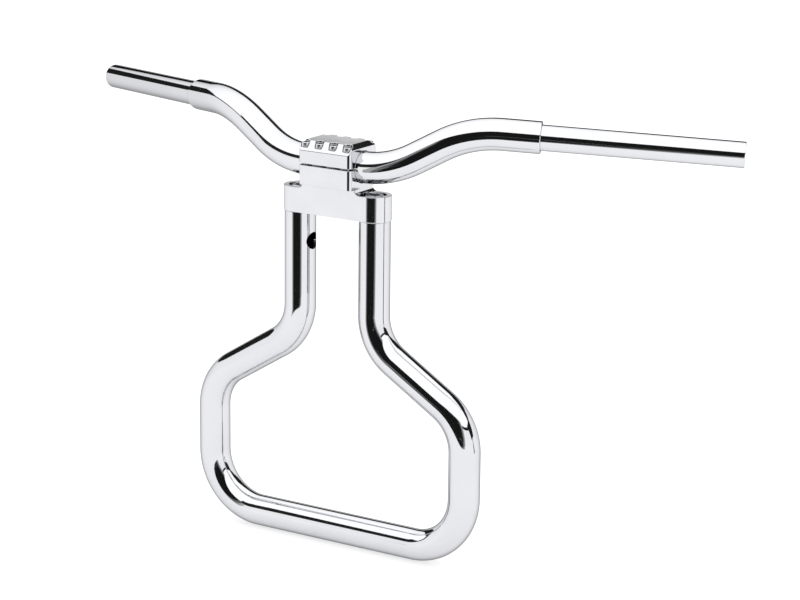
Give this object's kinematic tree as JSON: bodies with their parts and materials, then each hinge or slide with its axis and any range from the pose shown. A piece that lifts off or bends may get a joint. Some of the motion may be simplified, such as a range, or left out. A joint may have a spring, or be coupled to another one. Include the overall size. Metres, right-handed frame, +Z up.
{
  "type": "motorcycle handlebar",
  "caption": "Tall motorcycle handlebar: a bent tube riser loop, a clamp bolted across its two necks and a swept bar held in it.",
  "frame": {"origin": "middle of the crossbar's axis, at the bottom of the riser loop, where the motorcycle's riser clamps grip it", "axes": "+X along the crossbar, +Y back towards the rider, +Z up; left and right in node names are as seen from in front, looking along +Y, so left is -X"},
  "size_m": [0.7706, 0.165, 0.4527],
  "materials": {
    "tube_chrome": "mirror polished chrome plate",
    "block_chrome": "polished chrome plate over machined faces",
    "fastener": "bright plated socket-head screws",
    "bare_steel": "plain machined steel"
  },
  "bodies": {
    "riser": {"riser_loop": "tube_chrome", "lower_clamp": "block_chrome", "upper_clamp": "block_chrome", "clamp_screw_1": "fastener", "clamp_screw_2": "fastener", "clamp_screw_3": "fastener", "clamp_screw_4": "fastener", "clamp_screw_5": "fastener", "clamp_screw_6": "fastener", "clamp_screw_7": "fastener", "clamp_screw_8": "fastener", "riser_bolt_left": "fastener", "riser_bolt_right": "fastener", "riser_washer_left": "bare_steel", "riser_washer_right": "bare_steel", "neck_plug_left": "bare_steel", "neck_plug_right": "bare_steel"},
    "handlebar": {"handlebar_tube": "tube_chrome", "grip_tube_left": "tube_chrome", "grip_tube_right": "tube_chrome"}
  },
  "joints": [
    {"name": "bar_tilt", "type": "hinge", "parent": "riser", "child": "handlebar", "pos_m": [0, 0, 0.378], "axis": [1, 0, 0], "range_deg": [-20, 20]}
  ]
}
